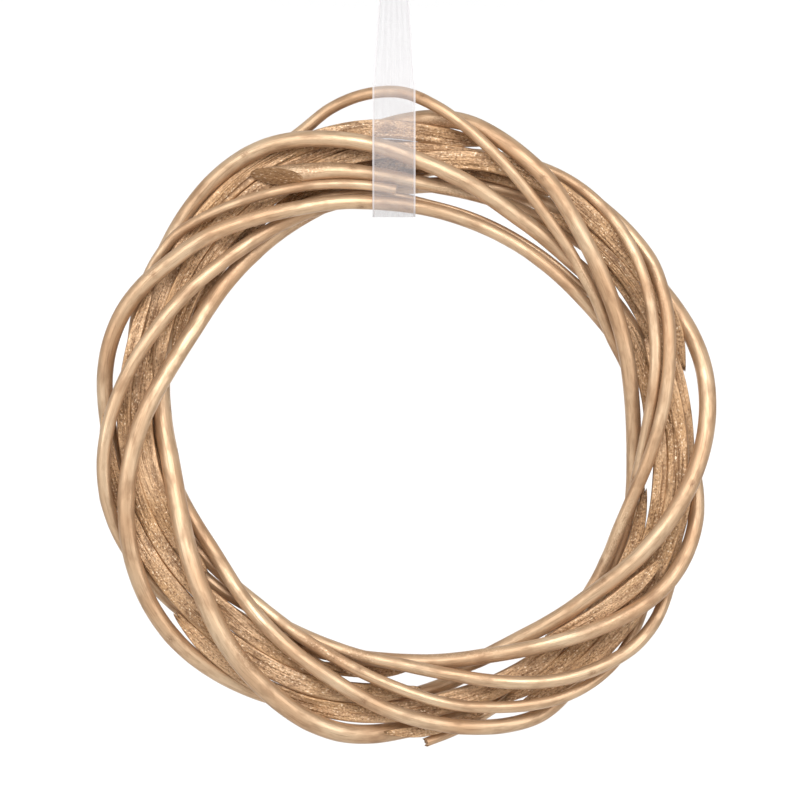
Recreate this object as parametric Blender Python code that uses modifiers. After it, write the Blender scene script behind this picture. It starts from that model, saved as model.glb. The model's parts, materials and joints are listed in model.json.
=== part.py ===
"""A hanging wreath frame: a ring of willow rods wound round each other, sprayed gold, on a ribbon loop.

The origin is the crotch of the ribbon, under its knot, where a hook or bar carries the frame.
The ring hangs below it in the XZ plane, with its front towards -Y. Angles on the ring run clockwise
from its top as seen from the front. Tables are in degrees and millimetres; the model is in metres.
"""

import math

import bmesh
import bpy
import numpy as np
from mathutils import Matrix, Vector

MM = 0.001

# --- driving sizes, mm ---------------------------------------------------------------------------
RING_RADIUS = 94.0  # ring centre to the middle of the rod bundle
BUNDLE_HALF_DEPTH = 7.8  # how far a rod's centre line swings to the front and to the back
ROD_GAP = 0.35  # least gap left between two rods
STATION_STEP = 6.0  # degrees of ring between two points of a rod

RIBBON_WIDTH = 15.0
RIBBON_THICKNESS = 0.4
RIBBON_CLEARANCE = 0.35  # ribbon face to the nearest rod, at every sway of the ring
RIBBON_OFFSET = -3.5  # ribbon's middle to the left of the ring's centre
KNOT_ABOVE_RING = 91.0  # top of the bundle's middle line up to the ribbon's crotch
GATHERED_WIDTH = 5.2  # ribbon's width where it runs through its knot
LEG_SPACING = 1.4  # between the two legs of the ribbon at the knot
SWAY = 6.0  # degrees the ring can swing to each side in its ribbon
PIVOT_OFFSET = -4.6  # the swing's axis to the left of the ring's centre, above its centre of mass

KNOT_RADIUS = 5.4
KNOT_TUBE_RADIUS = 1.9
KNOT_FLATTENING = 0.62  # front to back share of the knot's round
KNOT_STRETCH = 1.5  # upright share of the knot's tube
KNOT_LIFT = 4.6  # crotch up to the knot's middle
TAIL_LENGTH = 24.0
TAIL_LEAN = 9.0  # sideways reach of each tail's tip
TAIL_SPREAD = 5.0  # front and back reach of the tails' tips
TAIL_START = 1.0  # knot's top up to where a tail begins to spread
FULL_WIDTH_ABOVE_RING = 28.0  # bundle's middle line up to where the ribbon is at its full width
RIBBON_SIDE_ROOM = 0.5  # beyond each edge of the ribbon where a rod still counts as under it
SWAY_SAMPLES = 7  # places of the ring at which the ribbon's way round the rods is found
OUTLINE_STEP = 6  # degrees between two directions of the ribbon's outline
OUTLINE_FIRST, OUTLINE_LAST = 84, -264  # degrees, from almost straight up, round the front and back
LEG_ROWS = 7

# --- the rods: (angle, diameter), then passes of (angle, distance outside the bundle's middle) ----
# A wound rod crosses the front going inwards and the back going outwards, clockwise. Each pass
# starts where the one before it ended.
FRONT, BACK = 1.0, -1.0
WOUND_RODS = {
    "arch_rod": (
        [(100, 4.4), (150, 5.4), (235, 5.2), (338, 4.2), (438, 3.8)],
        [
            (BACK, [(100, -10.3), (106, -8.2), (112, -5.8), (120, -2.5), (137, 6), (155, 15)]),
            (FRONT, [(165, 12), (175, 7.1), (185, 1.8), (195, -3.8), (205, -7.7), (215, -10.8),
                     (225, -13.3), (236, -15)]),
            (BACK, [(252, -12.6), (270, -7), (295, 2), (315, 9.5), (325, 12.3), (333, 14.2),
                    (340, 17), (346, 21.8), (350, 24.4), (354, 25.4)]),
            (FRONT, [(360, 25), (365, 21.1), (370, 16.2), (375, 11.3), (380, 6.4), (385, 2.3),
                     (390, -1.4), (395, -4.6), (400, -7), (407, -10), (414, -12), (424, -14)]),
            (BACK, [(438, -11.5)]),
        ],
    ),
    "thick_rod": (
        [(126, 5.6), (190, 6.8), (270, 6.8), (360, 6.2), (468, 5.2)],
        [
            (BACK, [(126, -5), (150, 2), (175, 9), (193, 13.2)]),
            (FRONT, [(200, 11.4), (205, 9.2), (210, 6.9), (220, 2.1), (230, -3.1), (240, -7.3),
                     (250, -10.1), (262, -11)]),
            (BACK, [(275, -7.8), (292, -3), (310, 2), (330, 5.5), (345, 8.6), (355, 11),
                    (362, 13.3), (369, 14.2)]),
            (FRONT, [(375, 12.9), (380, 10.5), (385, 8), (390, 5.4), (400, -1.2), (410, -5.9),
                     (420, -9.3), (430, -11.5), (440, -13), (448, -13.2)]),
            (BACK, [(458, -12), (468, -9)]),
        ],
    ),
    "west_rod": (
        [(165, 5.4), (230, 6.1), (320, 5.8), (410, 4.8), (505, 4.4)],
        [
            (BACK, [(165, -6), (190, 3.5), (210, 11), (228, 14.1)]),
            (FRONT, [(235, 13.4), (245, 10.6), (255, 6.4), (265, 1.4), (275, -3.8), (285, -8.9),
                     (295, -11.8), (308, -12.3)]),
            (BACK, [(328, -10.8), (345, -8), (360, -3), (372, 3), (387, 8.3), (409, 10.9)]),
            (FRONT, [(415, 10.6), (425, 6.4), (435, 1.1), (445, -3.8), (455, -7.7), (465, -10.5),
                     (474, -11.1)]),
            (BACK, [(485, -8.6), (505, -3.5)]),
        ],
    ),
    "east_rod": (
        [(203, 4.4), (256, 4.7), (340, 5.2), (430, 6.3), (528, 5.6)],
        [
            (BACK, [(203, -3), (225, 4), (240, 9), (256, 11.8)]),
            (FRONT, [(265, 10.6), (275, 7.1), (285, 2.8), (295, -1.4), (305, -4.6), (315, -7.4),
                     (325, -8.8), (335, -9.3), (345, -9.6)]),
            (BACK, [(365, -6.5), (385, -1), (405, 4.5), (418, 8.4), (438, 13.3)]),
            (FRONT, [(450, 11.3), (460, 7.4), (470, 2.5), (480, -2.4), (490, -7), (500, -9.4),
                     (512, -10.8)]),
            (BACK, [(522, -9.6), (528, -8.6)]),
        ],
    ),
    "inner_rod": (
        [(88, 5.2), (112, 5.4), (200, 5.6), (287, 6.0), (340, 5.2), (432, 4.2)],
        [
            (BACK, [(88, 1), (95, 5.8), (104, 11.2), (113, 12.9)]),
            (FRONT, [(120, 11.6), (130, 5.6), (140, -1.4), (150, -7), (160, -10.8), (170, -12.4),
                     (185, -13.4)]),
            (BACK, [(205, -10.4), (225, -5), (245, 0.5), (258, 5), (272, 9.9), (286, 13.2)]),
            (FRONT, [(295, 12), (305, 7.1), (315, 2.5), (325, -3.1), (335, -7.7), (345, -10.8),
                     (355, -13.6), (365, -15.2), (380, -16.7), (395, -17.1), (410, -16.3)]),
            (BACK, [(420, -14.4), (432, -11)]),
        ],
    ),
    "shoulder_rod": (
        [(102, 3.8), (141, 4.0), (220, 4.4), (328, 6.0), (435, 5.4)],
        [
            (BACK, [(102, -2.5), (120, 7), (141, 15.8)]),
            (FRONT, [(150, 13.7), (160, 8.1), (170, 2.5), (180, -3.8), (190, -8.7), (200, -12.2),
                     (210, -14.1), (218, -14.6)]),
            (BACK, [(235, -11.5), (255, -4.5), (275, 1.5), (295, 6.8), (310, 12.4), (328, 17)]),
            (FRONT, [(335, 16.3), (345, 11.4), (355, 5.6), (365, -0.5), (375, -4.9), (385, -8.8),
                     (395, -10.4), (404, -10.7)]),
            (BACK, [(415, -8.5), (435, -3.5)]),
        ],
    ),
    "south_east_rod": (
        [(85, 4.2), (130, 4.7), (200, 4.5), (303, 3.6), (358, 3.4)],
        [
            (BACK, [(85, -4), (105, 5.5), (118, 13), (130, 16.8)]),
            (FRONT, [(140, 13), (150, 6.4), (160, -1.7), (170, -8.4), (180, -12.6), (190, -14.1),
                     (200, -14.7)]),
            (BACK, [(215, -13.5), (235, -7), (255, -1), (275, 3), (286, 5.3), (294, 8.4),
                    (302, 10.9)]),
            (FRONT, [(310, 11.4), (320, 6.7), (330, 1.8), (340, -2.4), (350, -6.3), (358, -9.2)]),
        ],
    ),
    "north_east_rod": (
        [(-20, 3.6), (37, 4.0), (100, 4.0), (176, 3.2)],
        [
            (BACK, [(-20, -7), (-5, -0.5), (12, 5.5), (36, 11.1)]),
            (FRONT, [(45, 10.2), (55, 6.7), (65, 1.8), (75, -3.1), (85, -7.7), (93, -10),
                     (103, -10.8)]),
            (BACK, [(120, -7.5), (140, -0.5), (160, 7.5), (170, 12.5), (176, 15.2)]),
        ],
    ),
    "cut_rod": (
        [(326, 5.4), (380, 5.0), (428, 4.8)],
        [
            (FRONT, [(326, 9.2), (333, 5.6), (340, 2.5), (350, -2.1), (360, -5.9), (369, -7.3),
                     (378, -7)]),
            (BACK, [(392, -5.5), (412, 0), (428, 4)]),
        ],
    ),
}

# The inner rods, split lengthwise, keep to the middle of the bundle: (angle, width), then
# (angle, distance outside the bundle's middle, distance in front of it).
SPLIT_RODS = {
    "thin_rod": (
        [(324, 2.4), (380, 2.4), (450, 2.4)],
        [(324, -3.8, 1.5), (335, -6, 2), (345, -7.7, 1.5), (353, -9.5, 0.5), (365, -13, -1),
         (380, -14.6, -2), (395, -14.8, -2.5), (412, -13, -3), (430, -8, -5), (450, -1, -6.5)],
    ),
    "split_rod_1": (
        [(-2, 4.6), (66, 4.2), (77, 3.4)],
        [(-2, -1.6, 1.5), (10, 2.8, 1.5), (22, 6.5, 1.5), (45, 7, 1.5), (60, 8.2, 0.5),
         (66, 8.2, 0), (72, 7.4, -1), (78, 6.4, -2)],
    ),
    "split_rod_2": (
        [(32, 3.4), (75, 4), (138, 3.0)],
        [(32, -2.5, 0), (48, 0.2, 1), (64, 1.4, 1), (75, 3, 1), (90, 5.2, 0.5), (100, 7, 0),
         (115, 9.6, -0.5), (138, 11.4, -1)],
    ),
    "split_rod_3": (
        [(68, 6.4), (110, 6.4), (158, 5.0)],
        [(68, -2, 0), (78, -0.6, 1), (90, 1.2, 2), (102, 3, 2), (115, 5.2, 1), (127, 7.2, 1),
         (140, 9, 0), (152, 9.8, -1), (158, 10.2, -2)],
    ),
    "split_rod_4": (
        [(82, 3.6), (99, 4.2), (120, 3.6), (138, 4.4), (160, 4.4)],
        [(82, -5.5, 0.5), (90, -3.8, 1), (99, -1.9, 1), (110, 0.6, 0.5), (122, 2, -1),
         (138, 3, -2), (150, 4.2, -2), (160, 5.4, -2.5)],
    ),
    "split_rod_5": (
        [(116, 5.4), (151, 4.8)],
        [(116, 6, 2), (122, 3.3, 3), (130, 0, 3.5), (140, -3.5, 3), (151, -5.4, 2)],
    ),
    "split_rod_6": (
        [(140, 5.4), (158, 7.2), (172, 7), (195, 5.8), (232, 4.6)],
        [(140, -2.5, 0), (150, -0.8, 1), (160, 0.9, 1.5), (170, 2.1, 1.5), (180, 4.2, 1.5),
         (195, 7, 1), (205, 7.4, 0.5), (222, 6.8, -0.5), (232, 6.2, -1.5)],
    ),
    "split_rod_7": (
        [(176, 5.4), (195, 6.4), (225, 6.2), (262, 5.0)],
        [(176, -2.5, 0), (188, -1, 1), (200, 0.8, 1.5), (212, 1.2, 1.5), (225, 2.8, 1.5),
         (240, 5.5, 1.5), (252, 8, 0.5), (264, 10.3, -1), (274, 11, -2)],
    ),
    "split_rod_8": (
        [(194, 5.8), (212, 6.6), (226, 6.2), (240, 4.6), (300, 4.0)],
        [(194, -7, 0), (203, -6, 0.5), (212, -5.9, 1), (225, -5.2, 1.5), (238, -2, 1.5),
         (250, 0.5, 1.5), (262, 2.6, 1), (275, 4.4, 1), (286, 5.4, 1), (300, 8, 0)],
    ),
    "split_rod_9": (
        [(234, 5.4), (258, 7.0), (300, 5.4), (376, 5.0)],
        [(234, -8.5, 0), (248, -6.3, 1.5), (258, -4.4, 1.5), (270, -2.4, 1), (282, -0.9, 1.5),
         (292, 1.5, 1.5), (304, 5, 1.5), (312, 7.4, 1.5), (320, 9.6, 1.5), (328, 11.4, 1),
         (336, 12.2, 1), (345, 12.4, 1), (355, 12, 0.5), (364, 10.8, -0.5), (372, 9.4, -1.5),
         (376, 8.8, -2)],
    ),
    "split_rod_10": (
        [(280, 4.4), (352, 4.2)],
        [(280, -6.4, 0), (292, -3.2, 1.5), (305, 0.4, 1.5), (318, 3.5, 1.5), (330, 6.3, 1),
         (342, 9, 0), (353, 10.5, -2)],
    ),
    "split_rod_11": (
        [(288, 4.8), (330, 5.0), (392, 4.2)],
        [(288, -9, -0.5), (296, -7, 0), (306, -4.6, 1), (318, -1.7, 1), (330, 0.7, 0.5),
         (342, 3.2, 1), (352, 4.6, 1.5), (365, 5.6, 1.5), (378, 6.7, 1), (392, 8, 0)],
    ),
    "split_rod_12": (
        [(58, 4.4), (96, 4.0)],
        [(58, -8.6, 0), (66, -7.6, 0), (75, -6.8, 0), (88, -5.8, 0), (96, -6.2, 0)],
    ),
    "split_rod_13": (
        [(298, 5.2), (331, 5.2)],
        [(298, -8.4, -2), (312, -5.3, -2), (322, -3.2, -2), (331, -1.6, -2.5)],
    ),
    "split_rod_14": (
        [(312, 4.8), (362, 4.8)],
        [(312, -0.5, -2.5), (325, 1.8, -3), (338, 3.9, -3.5), (350, 6.2, -3.5), (362, 8.4, -4)],
    ),
    "split_rod_15": (
        [(328, 4.4), (392, 4.4)],
        [(328, -2.8, -3), (342, -0.5, -2.5), (352, 0.9, -2.5), (362, 1.9, -2.5), (372, 3.4, -2.5),
         (380, 4.8, -2.5), (392, 7.4, -3)],
    ),
    "split_rod_16": (
        [(44, 3.2), (78, 3.6)],
        [(44, -2.6, -2.5), (54, -1.9, -3), (66, -1.3, -3), (78, -0.4, -3)],
    ),
    "split_rod_17": (
        [(103, 3.2), (132, 3.6)],
        [(103, -8.4, -1), (110, -6.6, -1.5), (116, -4.8, -2), (124, -3, -2.5), (132, -1.5, -3)],
    ),
    "split_rod_18": (
        [(178, 3.6), (206, 3.8)],
        [(178, -12, -1), (184, -10.5, -1), (190, -9.7, -1.5), (197, -8.4, -2), (206, -6.6, -2.5)],
    ),
    "split_rod_19": (
        [(164, 3.6), (184, 4.2)],
        [(164, 8.4, -2), (172, 10, -1.5), (178, 11.2, -0.5), (184, 11.8, 0)],
    ),
    "split_rod_20": (
        [(250, 3.2), (272, 3.2)],
        [(250, -9.4, -2), (258, -7.8, -2.5), (266, -6.8, -2.5), (272, -6, -3)],
    ),
}

# The cut rod's end is sliced: the slice's long way turns this far inwards from the rod, and its
# face turns this far up from the ring's plane towards the front.
SLICE_TURN = 27.0
SLICE_RISE = 52.0
SLICE_STATION = 1.35  # where the slice crosses the rod's middle, in stations from its end

# --- settling: how far each push moves a rod, and in which direction it gives most easily --------
SETTLE_ROUNDS = 500
SETTLE_SMOOTH_ROUNDS = 300  # the first rounds also keep each rod's bend smooth
SETTLE_SMOOTHING = 0.35
WOUND_RADIAL_GIVE = 0.12
SPLIT_RADIAL_GIVE = 0.50
ALONG_GIVE = 0.05
OPEN_END_REACH = (-14.0, 13.5)  # innermost and outermost reach assumed beyond a rod's tucked end

# --- colours -------------------------------------------------------------------------------------
GOLD = "#C8A27A"
PALE_GOLD = "#D9B78C"
DEEP_GOLD = "#B48A60"
ORGANZA = "#F4F2F3"


def clear_scene():
    for found in list(bpy.data.objects):
        bpy.data.objects.remove(found)


def linear(hex_colour):
    """An sRGB hex colour as linear RGBA."""
    channels = [int(hex_colour[i:i + 2], 16) / 255 for i in (1, 3, 5)]
    return [c / 12.92 if c <= 0.04045 else ((c + 0.055) / 1.055) ** 2.4 for c in channels] + [1.0]


def painted(name, hex_colour, roughness, metallic):
    material = bpy.data.materials.new(name)
    material.use_nodes = True
    shader = material.node_tree.nodes["Principled BSDF"]
    shader.inputs["Base Color"].default_value = linear(hex_colour)
    shader.inputs["Roughness"].default_value = roughness
    shader.inputs["Metallic"].default_value = metallic
    return material


# --- paths ---------------------------------------------------------------------------------------
def through(angles, values, at):
    """A smooth curve through (angle, value) points, read at the angles in at."""
    angles, values = np.asarray(angles, float), np.asarray(values, float)
    steps = np.diff(angles)
    slopes = np.diff(values) / steps
    tangent = np.concatenate([
        slopes[:1],
        (slopes[:-1] * steps[1:] + slopes[1:] * steps[:-1]) / (steps[:-1] + steps[1:]),
        slopes[-1:],
    ])
    i = np.clip(np.searchsorted(angles, at, side="right") - 1, 0, len(steps) - 1)
    u = (at - angles[i]) / steps[i]
    return (
        (1 + 2 * u) * (1 - u) ** 2 * values[i]
        + u * (1 - u) ** 2 * steps[i] * tangent[i]
        + u * u * (3 - 2 * u) * values[i + 1]
        + u * u * (u - 1) * steps[i] * tangent[i + 1]
    )


def evened(values, reach):
    """A running average over reach samples to each side, that keeps the ends where they are."""
    weights = np.hanning(2 * reach + 3)[1:-1]
    before = 2 * values[0] - values[reach:0:-1]
    after = 2 * values[-1] - values[-2:-reach - 2:-1]
    return np.convolve(np.concatenate([before, values, after]), weights / weights.sum(), "valid")


def stations(first, last):
    return np.linspace(first, last, int(round((last - first) / STATION_STEP)) + 1)


def on_ring(angles, outward, forward):
    """Points in the ring's own frame: X right, Y up, Z to the front, its centre at the origin."""
    turn = np.radians(angles)
    radius = RING_RADIUS + outward
    return np.stack([radius * np.sin(turn), radius * np.cos(turn), forward], axis=1)


def radii_along(diameters, angles):
    at, width = zip(*diameters)
    return np.interp(angles, at, width) / 2


def wound_path(diameters, passes):
    """A rod that swings round the bundle: on each pass its depth follows a half circle between the
    pass's innermost and outermost reach, depth = half depth x sqrt(1 - u^2), u from -1 to 1."""
    points = [point for _, run in passes for point in run]
    angle, outward = zip(*points)
    fine = np.arange(angle[0], angle[-1] + 0.25, 0.5)
    reach = through(angle, outward, fine)
    depth = np.zeros_like(fine)
    begin = passes[0][1][0]
    for number, (side, run) in enumerate(passes):
        end = run[-1]
        low, high = sorted((begin[1], end[1]))
        open_start, open_end = number == 0, number == len(passes) - 1
        rising = end[1] > begin[1]
        if (open_start and rising) or (open_end and not rising):
            low = min(low, OPEN_END_REACH[0])
        if (open_start and not rising) or (open_end and rising):
            high = max(high, OPEN_END_REACH[1])
        inside = (fine >= begin[0]) & (fine <= end[0])
        u = np.clip((reach[inside] - (high + low) / 2) / ((high - low) / 2), -1, 1)
        depth[inside] = side * BUNDLE_HALF_DEPTH * np.sqrt(1 - u * u)
        begin = end
    at = stations(angle[0], angle[-1])
    reach = np.interp(at, fine, evened(reach, 4))
    depth = np.interp(at, fine, evened(depth, 14))
    return on_ring(at, reach, depth), radii_along(diameters, at)


def split_path(diameters, points):
    angle, outward, forward = zip(*points)
    at = stations(angle[0], angle[-1])
    return on_ring(at, through(angle, outward, at), through(angle, forward, at)), radii_along(diameters, at)


def nearest_on_segments(p1, q1, p2, q2):
    """Shares along each pair of segments p1-q1 and p2-q2 where the two come closest."""
    d1, d2, between = q1 - p1, q2 - p2, p1 - p2
    a, e = (d1 * d1).sum(1), (d2 * d2).sum(1)
    f, c, b = (d2 * between).sum(1), (d1 * between).sum(1), (d1 * d2).sum(1)
    spread = a * e - b * b
    s = np.where(spread > 1e-9, np.clip((b * f - c * e) / np.maximum(spread, 1e-9), 0, 1), 0.0)
    t = np.clip((b * s + f) / e, 0, 1)
    return np.clip((b * t - c) / a, 0, 1), t


def settle(paths):
    """Push the rods apart, mostly towards the front and back, until every pair is ROD_GAP clear.

    The rods start from their drawn paths. Each round finds where two rods are too close, moves
    both apart along the shortest line between them, and shares each move between a rod's points.
    """
    counts = [len(points) for points, _ in paths.values()]
    starts = np.concatenate([[0], np.cumsum(counts)])
    drawn = np.concatenate([points for points, _ in paths.values()])
    radius = np.concatenate([radii for _, radii in paths.values()])
    give = np.concatenate([
        np.full(n, SPLIT_RADIAL_GIVE if name in SPLIT_RODS else WOUND_RADIAL_GIVE)
        for name, n in zip(paths, counts)
    ])
    segment = np.concatenate([np.arange(starts[i], starts[i + 1] - 1) for i in range(len(counts))])
    owner = np.concatenate([np.full(n - 1, i) for i, n in enumerate(counts)])
    points = drawn.copy()
    for number in range(SETTLE_ROUNDS):
        if number % 10 == 0:
            middle = (points[segment] + points[segment + 1]) / 2
            half = np.linalg.norm(points[segment + 1] - points[segment], axis=1) / 2 + radius[segment] + 1
            apart = np.linalg.norm(middle[:, None] - middle[None], axis=2)
            near = (apart < half[:, None] + half[None]) & (owner[:, None] < owner[None])
            first, second = (segment[found] for found in np.nonzero(near))
        s, t = nearest_on_segments(points[first], points[first + 1], points[second], points[second + 1])
        on_first = points[first] + (points[first + 1] - points[first]) * s[:, None]
        on_second = points[second] + (points[second + 1] - points[second]) * t[:, None]
        distance = np.linalg.norm(on_second - on_first, axis=1)
        wanted = (
            radius[first] * (1 - s) + radius[first + 1] * s
            + radius[second] * (1 - t) + radius[second + 1] * t + ROD_GAP
        )
        tight = wanted > distance
        if not tight.any():
            break
        a, b, s, t = first[tight], second[tight], s[tight], t[tight]
        away = (on_second - on_first)[tight] / np.maximum(distance[tight], 1e-6)[:, None]
        outward = (on_first + on_second)[tight] * np.array([1.0, 1.0, 0.0])
        outward /= np.linalg.norm(outward, axis=1)[:, None]
        radial = (away * outward).sum(1)[:, None] * outward
        deep = away * np.array([0.0, 0.0, 1.0])
        along = away - radial - deep
        move_a = deep + give[a][:, None] * radial + ALONG_GIVE * along
        move_b = deep + give[b][:, None] * radial + ALONG_GIVE * along
        gained = ((move_a + move_b) * away).sum(1)
        push = ((wanted - distance)[tight] / np.maximum(gained, ALONG_GIVE))[:, None]
        total, weight = np.zeros_like(points), np.zeros(len(points))
        for index, share, move in (
            (a, 1 - s, -move_a), (a + 1, s, -move_a), (b, 1 - t, move_b), (b + 1, t, move_b)
        ):
            np.add.at(total, index, move * push * share[:, None])
            np.add.at(weight, index, share)
        points = points + total / np.maximum(weight, 1.0)[:, None]
        if number < SETTLE_SMOOTH_ROUNDS:
            shift = points - drawn
            for i in range(len(counts)):
                own = shift[starts[i]:starts[i + 1]]
                level = own.copy()
                level[1:-1] = (own[:-2] + own[2:]) / 2
                shift[starts[i]:starts[i + 1]] = own + SETTLE_SMOOTHING * (level - own)
            points = drawn + shift
    return {
        name: (points[starts[i]:starts[i + 1]], paths[name][1]) for i, name in enumerate(paths)
    }


# --- pieces --------------------------------------------------------------------------------------
def rod_curve(name, points, radii, profile):
    """A rod as a bevelled polyline, with one radius for each point and filled caps."""
    curve = bpy.data.curves.new(name, "CURVE")
    curve.dimensions = "3D"
    curve.twist_mode = "Z_UP"
    curve.resolution_u = 1
    curve.use_fill_caps = True
    if profile:
        curve.bevel_mode = "OBJECT"
        curve.bevel_object = profile
    else:
        curve.bevel_depth = MM
        curve.bevel_resolution = 2
    line = curve.splines.new("POLY")
    line.points.add(len(points) - 1)
    for slot, point, radius in zip(line.points, points, radii):
        slot.co = (*(Vector(point) * MM), 1.0)
        slot.radius = radius
    line.use_smooth = True
    return bpy.data.objects.new(name, curve)


def split_profile(cutters):
    """A half-round section of 1 mm radius, flat side to the front, that a rod's radius scales."""
    curve = bpy.data.curves.new("split_profile", "CURVE")
    curve.dimensions = "2D"
    line = curve.splines.new("POLY")
    corners = [math.radians(a) for a in (28, -15, -58, -90, -122, -165, -208)]
    line.points.add(len(corners) - 1)
    for slot, turn in zip(line.points, corners):
        slot.co = (math.cos(turn) * MM, math.sin(turn) * MM, 0.0, 1.0)
    line.use_cyclic_u = True
    profile = bpy.data.objects.new("split_profile", curve)
    profile.hide_render = True
    profile.display_type = "WIRE"
    cutters.objects.link(profile)
    return profile


def meshed(obj, collection):
    """The object's curve turned into a mesh of its own, so that it can be sliced."""
    collection.objects.link(obj)
    bpy.context.view_layer.update()
    mesh = bpy.data.meshes.new_from_object(obj.evaluated_get(bpy.context.evaluated_depsgraph_get()))
    mesh.name = obj.name
    name = obj.name
    bpy.data.objects.remove(obj)
    made = bpy.data.objects.new(name, mesh)
    collection.objects.link(made)
    return made


def sliced(obj, point, normal):
    """Cut away what lies beyond the plane, on the side that the normal points to, and close it."""
    work = bmesh.new()
    work.from_mesh(obj.data)
    bmesh.ops.remove_doubles(work, verts=work.verts, dist=0.00001)
    everything = list(work.verts) + list(work.edges) + list(work.faces)
    cut = bmesh.ops.bisect_plane(work, geom=everything, plane_co=point, plane_no=normal, clear_outer=True)
    rim = [piece for piece in cut["geom_cut"] if isinstance(piece, bmesh.types.BMEdge)]
    bmesh.ops.edgeloop_fill(work, edges=rim)
    bmesh.ops.recalc_face_normals(work, faces=work.faces)
    work.to_mesh(obj.data)
    work.free()


def slice_cut_rod(obj, points):
    """The long slanting cut at the start of the cut rod, facing the front and the ring's inside."""
    whole = int(SLICE_STATION)
    middle = points[whole] + (points[whole + 1] - points[whole]) * (SLICE_STATION - whole)
    along = Vector(points[whole + 1] - points[whole]).normalized()
    flat_along = Vector((along.x, along.y, 0.0)).normalized()
    long_way = Matrix.Rotation(-math.radians(SLICE_TURN), 3, "Z") @ flat_along
    inward = Vector((long_way.y, -long_way.x, 0.0))
    if inward.dot(flat_along) > 0:
        inward = -inward
    rise = math.radians(SLICE_RISE)
    normal = inward * math.cos(rise) + Vector((0.0, 0.0, 1.0)) * math.sin(rise)
    sliced(obj, Vector(middle) * MM, normal)


def ribbon_line(rods):
    """The taut ribbon's line in its YZ plane, mm from the ring's centre, front leg first.

    It is the outline of everything the loop holds: every rod that can come under the ribbon while
    the ring sways, and the crotch. In each direction the outermost rod sets the ribbon's place.
    """
    crotch = RING_RADIUS + KNOT_ABOVE_RING
    half_width = RIBBON_WIDTH / 2 + RIBBON_SIDE_ROOM
    dense = []
    for points, radii in rods.values():
        fine = np.linspace(0, len(points) - 1, 8 * len(points))
        whole = np.arange(len(points))
        line = np.stack([np.interp(fine, whole, points[:, k]) for k in range(3)], axis=1)
        dense.append(np.column_stack([line, np.interp(fine, whole, radii)]))
    dense = np.concatenate(dense)
    upper = dense[dense[:, 1] > 0]
    lowest = (upper[:, 1] - upper[:, 3])[np.abs(upper[:, 0] - RIBBON_OFFSET) < half_width].min()
    held = []
    for sway in np.radians(np.linspace(-SWAY, SWAY, SWAY_SAMPLES)):
        across, above = upper[:, 0] - PIVOT_OFFSET, upper[:, 1] - lowest
        x = PIVOT_OFFSET + across * math.cos(sway) + above * math.sin(sway)
        up = lowest - across * math.sin(sway) + above * math.cos(sway)
        under = np.abs(x - RIBBON_OFFSET) < half_width
        held.append(np.column_stack([upper[under, 2], up[under], upper[under, 3]]))
    held = np.concatenate(held)
    outline = []
    for degrees in range(OUTLINE_FIRST, OUTLINE_LAST - 1, -OUTLINE_STEP):
        turn = math.radians(degrees)
        way = np.array([math.cos(turn), math.sin(turn)])
        reach = held[:, :2] @ way + held[:, 2]
        best = int(reach.argmax())
        if crotch * way[1] > reach[best]:
            continue
        offset = held[best, 2] + RIBBON_CLEARANCE + RIBBON_THICKNESS / 2
        outline.append(held[best, :2] + way * offset)
    return outline, lowest


def ribbon_strip(outline, crotch, collection):
    """One strip: front tail, down the front leg, round the bundle, up the back leg, back tail."""
    top = max(RING_RADIUS + FULL_WIDTH_ABOVE_RING, max(up for _, up in outline))
    above = KNOT_LIFT + KNOT_TUBE_RADIUS * KNOT_STRETCH + TAIL_START

    def row(sideways, forward, up, spread):
        width = GATHERED_WIDTH + (RIBBON_WIDTH - GATHERED_WIDTH) * min(1.0, spread)
        return RIBBON_OFFSET + sideways, forward, up, width

    def taut(forward, up):
        return row(0.0, forward, up, (crotch - up) / (crotch - top))

    legs = []
    for side in (1, -1):
        leg = []
        for share in np.linspace(1, 0, LEG_ROWS):
            swing = share * share
            leg.append(row(
                -side * TAIL_LEAN * swing, side * (LEG_SPACING / 2 + TAIL_SPREAD * swing),
                crotch + above + TAIL_LENGTH * share, share ** 0.7,
            ))
        begin = np.array([side * LEG_SPACING / 2, crotch])
        leg.append(row(0.0, begin[0], crotch + KNOT_LIFT, 0.0))
        end = np.array(outline[0] if side > 0 else outline[-1])
        for share in np.linspace(0, 1, LEG_ROWS)[:-1]:
            leg.append(taut(*(begin + (end - begin) * share)))
        legs.append(leg)
    line = legs[0] + [taut(*point) for point in outline] + legs[1][::-1]
    work = bmesh.new()
    edges = []
    for x, forward, up, width in line:
        place = [(x + half - RIBBON_OFFSET, -forward, up - crotch) for half in (-width / 2, width / 2)]
        edges.append([work.verts.new(Vector(corner) * MM) for corner in place])
    for (a, b), (c, d) in zip(edges[:-1], edges[1:]):
        work.faces.new((a, b, d, c))
    mesh = bpy.data.meshes.new("ribbon_strip")
    work.to_mesh(mesh)
    work.free()
    strip = bpy.data.objects.new("ribbon_strip", mesh)
    collection.objects.link(strip)
    solid = strip.modifiers.new("thickness", "SOLIDIFY")
    solid.thickness = RIBBON_THICKNESS * MM
    solid.offset = 0.0
    solid.use_even_offset = True
    return strip


def ribbon_knot(collection):
    """The turn of ribbon that ties the two legs, above the crotch."""
    bpy.ops.mesh.primitive_torus_add(
        major_segments=24, minor_segments=10,
        major_radius=KNOT_RADIUS * MM, minor_radius=KNOT_TUBE_RADIUS * MM,
    )
    knot = bpy.context.object
    knot.name = "ribbon_knot"
    knot.data.transform(Matrix.Diagonal((1.0, KNOT_FLATTENING, KNOT_STRETCH, 1.0)))
    knot.data.shade_smooth()
    for holder in list(knot.users_collection):
        holder.objects.unlink(knot)
    collection.objects.link(knot)
    knot.location = (0.0, 0.0, KNOT_LIFT * MM)
    return knot


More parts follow.
